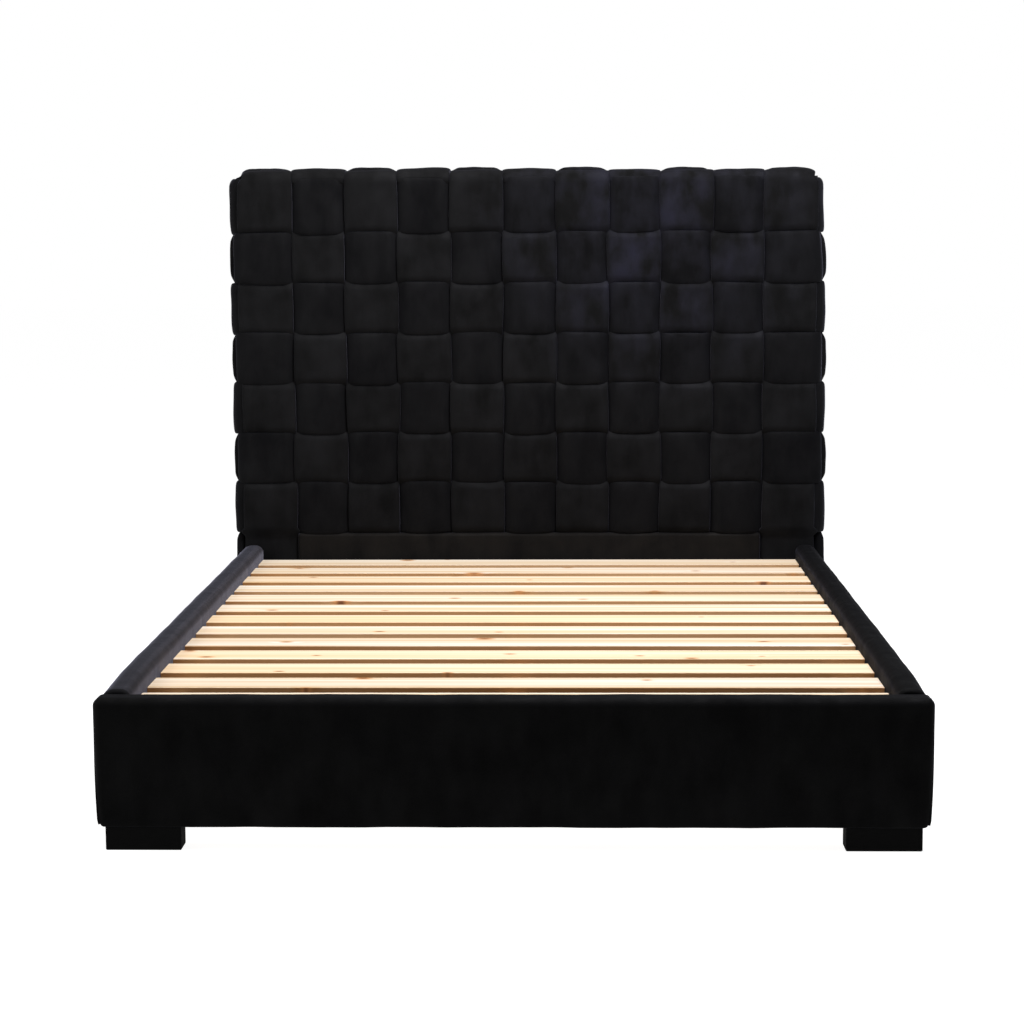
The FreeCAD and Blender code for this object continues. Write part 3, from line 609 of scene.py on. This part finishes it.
for row in range(weave["rows"]):
    path = roundedPath([(-edgeX + weave["tailLength"], coreBack), (-edgeX, coreBack),
                        (-edgeX, coreFront), (edgeX, coreFront), (edgeX, coreBack),
                        (edgeX - weave["tailLength"], coreBack)], weave["cornerRadius"])
    places, dense, _, middles = path
    front = (places > middles[1]) & (places < middles[2])
    lines = np.interp(columnLines, dense[front, 0], places[front])
    lines[0], lines[-1] = middles[1], middles[2]
    overs = [not isColumnOver(row, column) for column in range(weave["columns"])]
    cells = [(0, middles[0], False), (middles[0], middles[1], not overs[0])]
    cells += [(lines[k], lines[k + 1], overs[k]) for k in range(weave["columns"])]
    cells += [(middles[2], middles[3], not overs[-1]), (middles[3], places[-1], False)]
    rises = ([0, middles[0] - weave["tailRamp"], middles[0] + weave["tailRamp"],
              middles[3] - weave["tailRamp"], middles[3] + weave["tailRamp"], places[-1]],
             [weave["tail"]] * 2 + [weave["web"]] * 2 + [weave["tail"]] * 2)
    line = weave["rows"] - 1 - row
    start, end = rowLines[line], rowLines[line + 1]
    wovenBand(f"weaveRow{row + 1}", [f"weave_row_{row + 1}"], weave["rowBow"],
              path=path, outward=1, cells=roundCorners(cells, middles[1:3]),
              centre=(start + end) / 2, halfWidth=(end - start) / 2,
              toSpace=lambda flat, side: np.stack([flat[..., 0], flat[..., 1], side], -1),
              seed=200 + row, endRise=rises)

# one strip runs up one side, along the top and down the other side
path = roundedPath([(-edgeX, bandLow), (-edgeX, edgeZ), (edgeX, edgeZ), (edgeX, bandLow)],
                   weave["cornerRadius"])
places, dense, _, middles = path
onTop = (places > middles[0]) & (places < middles[1])
topLines = np.interp(columnLines, dense[onTop, 0], places[onTop])
topLines[0], topLines[-1] = middles
sideLines = rowLines - bandLow
sideLines[-1] = middles[0]
overs = [isColumnOver(row, -1) for row in range(weave["rows"] - 1, -1, -1)]
cells = [(0, sideLines[0], True)]
cells += [(sideLines[k], sideLines[k + 1], overs[k]) for k in range(weave["rows"])]
cells += [(topLines[k], topLines[k + 1], not isColumnOver(-1, k))
          for k in range(weave["columns"])]
cells += [(places[-1] - end, places[-1] - start, over)
          for start, end, over in cells[weave["rows"]::-1]]
wovenBand("edgeBand", ["side_band_left", "top_band", "side_band_right"], weave["edgeBow"],
          path=path, outward=-1, cells=roundCorners(cells, middles),
          centre=(coreFront + coreBack) / 2, bare=(sideLines[0], sideLines[0]),
          halfWidth=(coreBack - coreFront) / 2 - weave["edgeInset"],
          toSpace=lambda flat, side: np.stack([flat[..., 0], side, flat[..., 1]], -1),
          seed=300, endRise=([0, places[-1]], [weave["web"]] * 2), ramp=weave["edgeRamp"],
          tuck=weave["edgeTuck"], arch=weave["edgeArch"])
print("headboard woven")

# padded rails and the plain lower panel
rails = {"outerTop": 0.030, "innerTop": 0.021, "footTop": 0.018, "bottom": 0.008,
         "endRound": 0.009, "footBottom": 0.004, "footEndRound": 0.016, "footDrawIn": 0.0055,
         "footCorner": (0.010, 0.009), "noseDrop": 0.0075, "noseLength": 0.20,
         "footDrop": 0.0016, "lip": 0.014, "lipDepth": 0.0025, "outerBulge": 0.0022,
         "innerBulge": 0.0008, "wave": 0.0003, "step": 0.02, "runPoints": (22, 10, 22, 10)}


def sectionLoop(low, high, radii, lip=None):
    # A rounded rectangle, anticlockwise from its lower right arc: four arcs joined by straight
    # runs. Returns points, outward normals and the radius that each point belongs to.
    (a0, z0), (a1, z1) = low, high
    corners = [((a1, z0), radii[0], -90), ((a1, z1), radii[1], 0), ((a0, z1), radii[2], 90),
               ((a0, z0), radii[3], 180)]
    points, normals, sizes = [], [], []
    for (a, z), r, start in corners:
        angles = np.radians(start + np.linspace(0, 90, arcPoints))
        n = np.stack([np.cos(angles), np.sin(angles)], -1)
        middle = np.array([a - r if a == a1 else a + r, z - r if z == z1 else z + r])
        points.append(middle + r * n)
        normals.append(n)
        sizes.append(np.full(arcPoints, r))
    counts = rails["runPoints"]
    P, N, R = [], [], []
    for k in range(4):
        P.append(points[k]), N.append(normals[k]), R.append(sizes[k])
        nextP, nextR = points[(k + 1) % 4][0], sizes[(k + 1) % 4][0]
        t = np.linspace(0, 1, counts[k] + 2)[1:-1, None]
        run = points[k][-1] * (1 - t) + nextP * t
        if k == 3 and lip:      # the cloth's edge, turned under and stapled
            inner = (run[:, 0] > a0 + lip[0]) & (run[:, 0] < a1 - lip[0])
            run[inner, 1] += lip[1]
        P.append(run), N.append(np.repeat(normals[k][-1:], counts[k], 0))
        R.append(sizes[k][-1] * (1 - t[:, 0]) + nextR * t[:, 0])
    return np.vstack(P), np.vstack(N), np.concatenate(R)


def paddedBoard(name, replaced, axis, low, high, radii, endRound, bulge, lip, seed, wave,
                drawIn=0, corner=None, nose=0, material=railVelvetShaded):
    # A section carried along a board. Near both ends it shrinks by r - sqrt(r^2 - (r-t)^2),
    # a quarter circle. The long faces swell by (1 - u^4)(1 - w^2) and carry a faint unevenness.
    rng = np.random.default_rng(seed)
    across = 1 - axis
    P, N, R = sectionLoop((low[across], low[2]), (high[across], high[2]), radii, lip)
    length = high[axis] - low[axis]
    t = endRound * (1 - np.cos(np.linspace(0, np.pi / 2, 9)))
    count = max(12, int(length / rails["step"]))
    middle = np.linspace(t[-1], length - t[-1], count)[1:-1]
    s = np.concatenate([t, middle, length - t[::-1]])
    gap = np.clip(endRound - np.minimum(s, length - s), 0, endRound)
    shrink = endRound - np.sqrt(np.clip(endRound ** 2 - gap ** 2, 0, None))
    inset = np.minimum(shrink[:, None], R[None, :] * 0.97)
    u = (2 * s / length - 1)[:, None]
    w = ((2 * P[:, 1] - low[2] - high[2]) / (high[2] - low[2]))[None, :]
    outFace = np.where(N[:, 0] > 0, bulge[1], bulge[0])[None, :] * np.abs(N[:, 0])[None, :] ** 3
    swell = outFace * (1 - u ** 4) * (1 - w * w)
    phase = rng.uniform(0, 6.28, 5)
    S, A = s[:, None], np.arctan2(N[:, 1], N[:, 0])[None, :]
    ripple = (np.sin(S * 9.1 + 3 * w + phase[0]) + np.sin(S * 23 - 2.2 * w + A + phase[1])
              + 0.6 * np.sin(S * 41 + 5 * w + phase[2])
              + 0.4 * np.sin(S * 73 - 7 * w + phase[3])) * wave
    ripple = ripple * (1 - np.abs(u) ** 12)
    flat = P[None] + N[None] * (swell + ripple - inset)[..., None]
    shape = np.zeros(flat.shape[:2] + (3,))
    shape[..., axis] = low[axis] + S
    shape[..., across] = flat[..., 0]
    shape[..., 2] = flat[..., 1]
    middle, tall = (low[axis] + high[axis]) / 2, high[2] - low[2]
    if nose:        # the top runs down to the foot rail
        ahead = np.clip(1 - (shape[..., axis] - low[axis]) / rails["noseLength"], 0, 1)
        shape[..., 2] -= nose * smooth(ahead) * np.clip((shape[..., 2] - low[2]) / tall, 0, 1)
    if corner:      # rounded seen from the front, bottom and top
        for edge, r in zip((low[2], high[2]), corner):
            a = (np.abs(shape[..., axis] - middle) - ((high[axis] - low[axis]) / 2 - r)) / r
            b = (r - np.abs(shape[..., 2] - edge)) / r
            near = (a > 0) & (b > 0)
            a, b = a[near], b[near]
            share = np.maximum(a, b) / np.hypot(a, b)
            shape[near, axis] -= np.sign(shape[near, axis] - middle) * a * (1 - share) * r
            shape[near, 2] += np.sign((low[2] + high[2]) / 2 - edge) * b * (1 - share) * r
    # the ends are pulled in towards the bottom, where the cloth is stapled under
    pulled = np.clip(1 - (shape[..., 2] - low[2]) / tall, 0, 1) ** 3.5
    shape[..., axis] -= np.sign(shape[..., axis] - middle) * drawIn * pulled * np.abs(u) ** 6
    columns = len(P)
    first, last = np.arange(columns), np.arange((len(s) - 1) * columns, len(s) * columns)
    piece = makePiece(name, shape, gridFaces(len(s), columns, True), material,
                      replaced, [(first, True), (last, False)])
    fixFacing(piece)
    return piece


low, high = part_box("foot_rail_cover")
paddedBoard("footRail", ["foot_rail_cover", "rail_foam"], 0, low,
            (high[0], high[1], high[2] - rails["footDrop"]),
            (rails["footBottom"], rails["footTop"], rails["footTop"], rails["footBottom"]),
            rails["footEndRound"], (rails["outerBulge"], rails["innerBulge"]),
            (rails["lip"], rails["lipDepth"]), 11, rails["wave"], rails["footDrawIn"],
            rails["footCorner"])
for side, seed in (("left", 12), ("right", 13)):
    low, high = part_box(f"side_rail_{side}_cover")
    bulges = (rails["outerBulge"], rails["innerBulge"])
    tops = (rails["innerTop"], rails["outerTop"])
    turned = slice(None) if side == "left" else slice(None, None, -1)
    paddedBoard(f"sideRail{side.title()}", [f"side_rail_{side}_cover", "rail_foam"], 1, low, high,
                (rails["bottom"], *tops[turned], rails["bottom"]), rails["endRound"],
                bulges[turned],
                (rails["lip"], rails["lipDepth"]), seed, rails["wave"], nose=rails["noseDrop"],
                material=leftVelvetLit if side == "left" else rightVelvetShaded)
panel = {"back": 0.0015, "front": 0.010, "endRound": 0.009, "bulge": 0.003, "wave": 0.0004}
low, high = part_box("lower_panel")
paddedBoard("lowerPanel", ["lower_panel"], 0, low, high,
            (panel["back"], panel["back"], panel["front"], panel["front"]), panel["endRound"],
            (panel["bulge"], 0), None, 14, panel["wave"], material=panelVelvetLit)
print("rails padded")

# lining over the headboard's back
lining = {"thick": 0.0008, "sag": 0.0012, "columns": 201, "rows": 163, "edgePull": 0.03,
          "stapleGap": 0.055, "stapleInset": 0.008, "stapleLong": 0.010, "stapleFrom": 0.03,
          "stapleUntil": 0.02, "stapleRise": 0.0012, "stapleWire": 0.0006, "stapleTurn": 0.12}
low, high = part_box("back_lining")


def backLining():
    # A thin sheet pulled flat and tacked round its edge: between the tacks its edge draws
    # in a little, and short pulls run inwards from each tack.
    nx, nz = lining["columns"], lining["rows"]
    x, z = np.linspace(low[0], high[0], nx), np.linspace(low[2], high[2], nz)
    X, Z = np.meshgrid(x, z)
    nearX, nearZ = np.minimum(X - low[0], high[0] - X), np.minimum(Z - low[2], high[2] - Z)
    near = np.minimum(nearX, nearZ)
    pull = np.cos(2 * np.pi * np.where(nearZ < nearX, X, Z) / lining["stapleGap"])
    puff = ((0.35 + 0.3 * pull) * np.exp(-near / lining["edgePull"])
            + 0.35 * np.sin(X * 5.3 + Z * 3.1) * np.sin(Z * 4.7))
    Y = high[1] - lining["sag"] + lining["sag"] * 0.5 * np.clip(puff, -1, 1)
    front = np.stack([X, Y, Z], -1).reshape(-1, 3)
    back = front - (0, lining["thick"], 0)
    faces = gridFaces(nz, nx, False)
    rim = np.concatenate([np.arange(nx), np.arange(1, nz) * nx + nx - 1,
                          (nz - 1) * nx + np.arange(nx - 2, -1, -1), np.arange(nz - 2, 0, -1) * nx])
    after = np.roll(rim, -1)
    count = nx * nz
    walls = np.stack([rim, after, after + count, rim + count], -1)
    piece = makePiece("backLining", np.vstack([front, back]),
                      np.vstack([faces[:, ::-1], faces + count, walls]), liningMaterial,
                      ["back_lining"])
    fixFacing(piece)


def staples():
    # Flat wire staples round the lining's edge: each a bar bent down at both ends.
    gap, inset, wire = lining["stapleGap"], lining["stapleInset"], lining["stapleWire"]
    begin, stop = lining["stapleFrom"], lining["stapleUntil"]
    across = np.arange(low[0] + begin, high[0] - stop, gap)
    upward = np.arange(low[2] + begin, high[2] - stop, gap)
    spots = [(x, z, 0) for x in across for z in (low[2] + inset, high[2] - inset)]
    spots += [(x, z, 1) for z in upward for x in (low[0] + inset, high[0] - inset)]
    spots = np.array(spots)
    rng = np.random.default_rng(31)
    turn = spots[:, 2] * np.pi / 2 + rng.normal(0, lining["stapleTurn"], len(spots))
    lengthwise = np.stack([np.cos(turn), np.zeros(len(spots)), np.sin(turn)], -1)
    sideways = np.stack([-np.sin(turn), np.zeros(len(spots)), np.cos(turn)], -1)
    line = np.array([(-1, 0), (-1, 0.6), (-0.85, 1), (0.85, 1), (1, 0.6), (1, 0)])
    face = np.full(len(spots), high[1] - lining["sag"])
    centre = np.stack([spots[:, 0], face, spots[:, 1]], -1)
    corner = []
    for along, lift in line:
        base = (centre + lengthwise * along * lining["stapleLong"] / 2
                + np.array([0, lift * lining["stapleRise"], 0]))
        left, right = base - sideways * wire, base + sideways * wire
        corner.append(np.stack([left, right, right - (0, wire, 0), left - (0, wire, 0)], 1))
    shape = np.stack(corner, 1).reshape(-1, 3)
    one = gridFaces(len(line), 4, True)
    caps = np.array([[3, 2, 1, 0], np.array([0, 1, 2, 3]) + 4 * (len(line) - 1)])
    one = np.vstack([one, caps])
    faces = (one[None] + (np.arange(len(spots)) * 4 * len(line))[:, None, None]).reshape(-1, 4)
    piece = makePiece("liningStaples", shape, faces, zincSteel)
    piece.data.polygons.foreach_set("use_smooth", [False] * len(piece.data.polygons))
    fixFacing(piece)


backLining()
staples()
print("back lined")

# stage, camera and light
view = {"aside": 0.104, "distance": 4.295, "height": 1.217, "turn": -1.36, "tilt": 7.21,
        "roll": -0.26, "lens": 78.84, "sensor": 36, "seesTo": 60}
footFace = cadBounds[0][1]


def aimCamera():
    camera = bpy.data.objects.new("camera", bpy.data.cameras.new("camera"))
    bpy.context.scene.collection.objects.link(camera)
    camera.data.sensor_width = view["sensor"]
    camera.data.lens = view["lens"]
    camera.data.clip_end = view["seesTo"]
    turn, tilt, roll = (math.radians(view[k]) for k in ("turn", "tilt", "roll"))
    ahead = Vector((math.sin(turn) * math.cos(tilt), math.cos(turn) * math.cos(tilt),
                    -math.sin(tilt)))
    right = Vector((math.cos(turn), -math.sin(turn), 0))
    upward = right.cross(ahead)
    rightTurned = right * math.cos(roll) + upward * math.sin(roll)
    upTurned = upward * math.cos(roll) - right * math.sin(roll)
    axes = Matrix((rightTurned, upTurned, -ahead)).transposed().to_4x4()
    place = (view["aside"], footFace - view["distance"], view["height"])
    camera.matrix_world = Matrix.Translation(place) @ axes
    bpy.context.scene.camera = camera


lights = {
    "key": {"at": (1.0, -0.9, 3.1), "towards": (-0.2, 0.9, 1.1), "size": 0.8, "watts": 132,
            "colour": "#f2f2ff"},
    "top": {"at": (0.0, 0.1, 3.2), "towards": (0.0, 0.7, 0.5), "size": 1.8, "watts": 76,
            "colour": "#fffdf8"},
    "left": {"at": (-2.6, -1.4, 2.0), "towards": (-0.6, 0.9, 0.7), "size": 1.6, "watts": 46,
             "colour": "#ffffff"},
}


def addLight(name, at, towards, size, watts, colour):
    data = bpy.data.lights.new(name, "AREA")
    data.size, data.energy, data.color = size, watts, linearColour(colour)[:3]
    light = bpy.data.objects.new(name, data)
    light.location = at
    light.rotation_euler = (Vector(towards) - Vector(at)).to_track_quat("-Z", "Y").to_euler()
    bpy.context.scene.collection.objects.link(light)


aimCamera()
for lightName, light in lights.items():
    addLight(lightName, **light)

studio = {"fill": 0.18, "floor": "#8a8a8a", "floorGlow": 0.94, "floorReach": 30}
world = bpy.data.worlds.new("studio")
world.use_nodes = True
sky = world.node_tree
seen = addNode(sky, "ShaderNodeLightPath").outputs["Is Camera Ray"]
strength = addNode(sky, "ShaderNodeMapRange", {"Value": seen, "To Min": studio["fill"],
                                                      "To Max": 1.0})
sky.nodes["Background"].inputs["Color"].default_value = (1, 1, 1, 1)
sky.links.new(strength.outputs[0], sky.nodes["Background"].inputs["Strength"])
bpy.context.scene.world = world
bpy.context.scene.view_settings.view_transform = "Standard"

floorMesh = bpy.data.meshes.new("floor")
far = studio["floorReach"]
floorMesh.from_pydata([(-far, -far, 0), (far, -far, 0), (far, far, 0), (-far, far, 0)], [],
                      [(0, 1, 2, 3)])
floor = bpy.data.objects.new("floor", floorMesh)
bpy.context.scene.collection.objects.link(floor)
floorPaint, _, floorShader = newMaterial("paleStudioFloor", Roughness=0.9)
floorShader.inputs["Base Color"].default_value = linearColour(studio["floor"])
floorShader.inputs["Emission Color"].default_value = (1, 1, 1, 1)
floorShader.inputs["Emission Strength"].default_value = studio["floorGlow"]
floorMesh.materials.append(floorPaint)
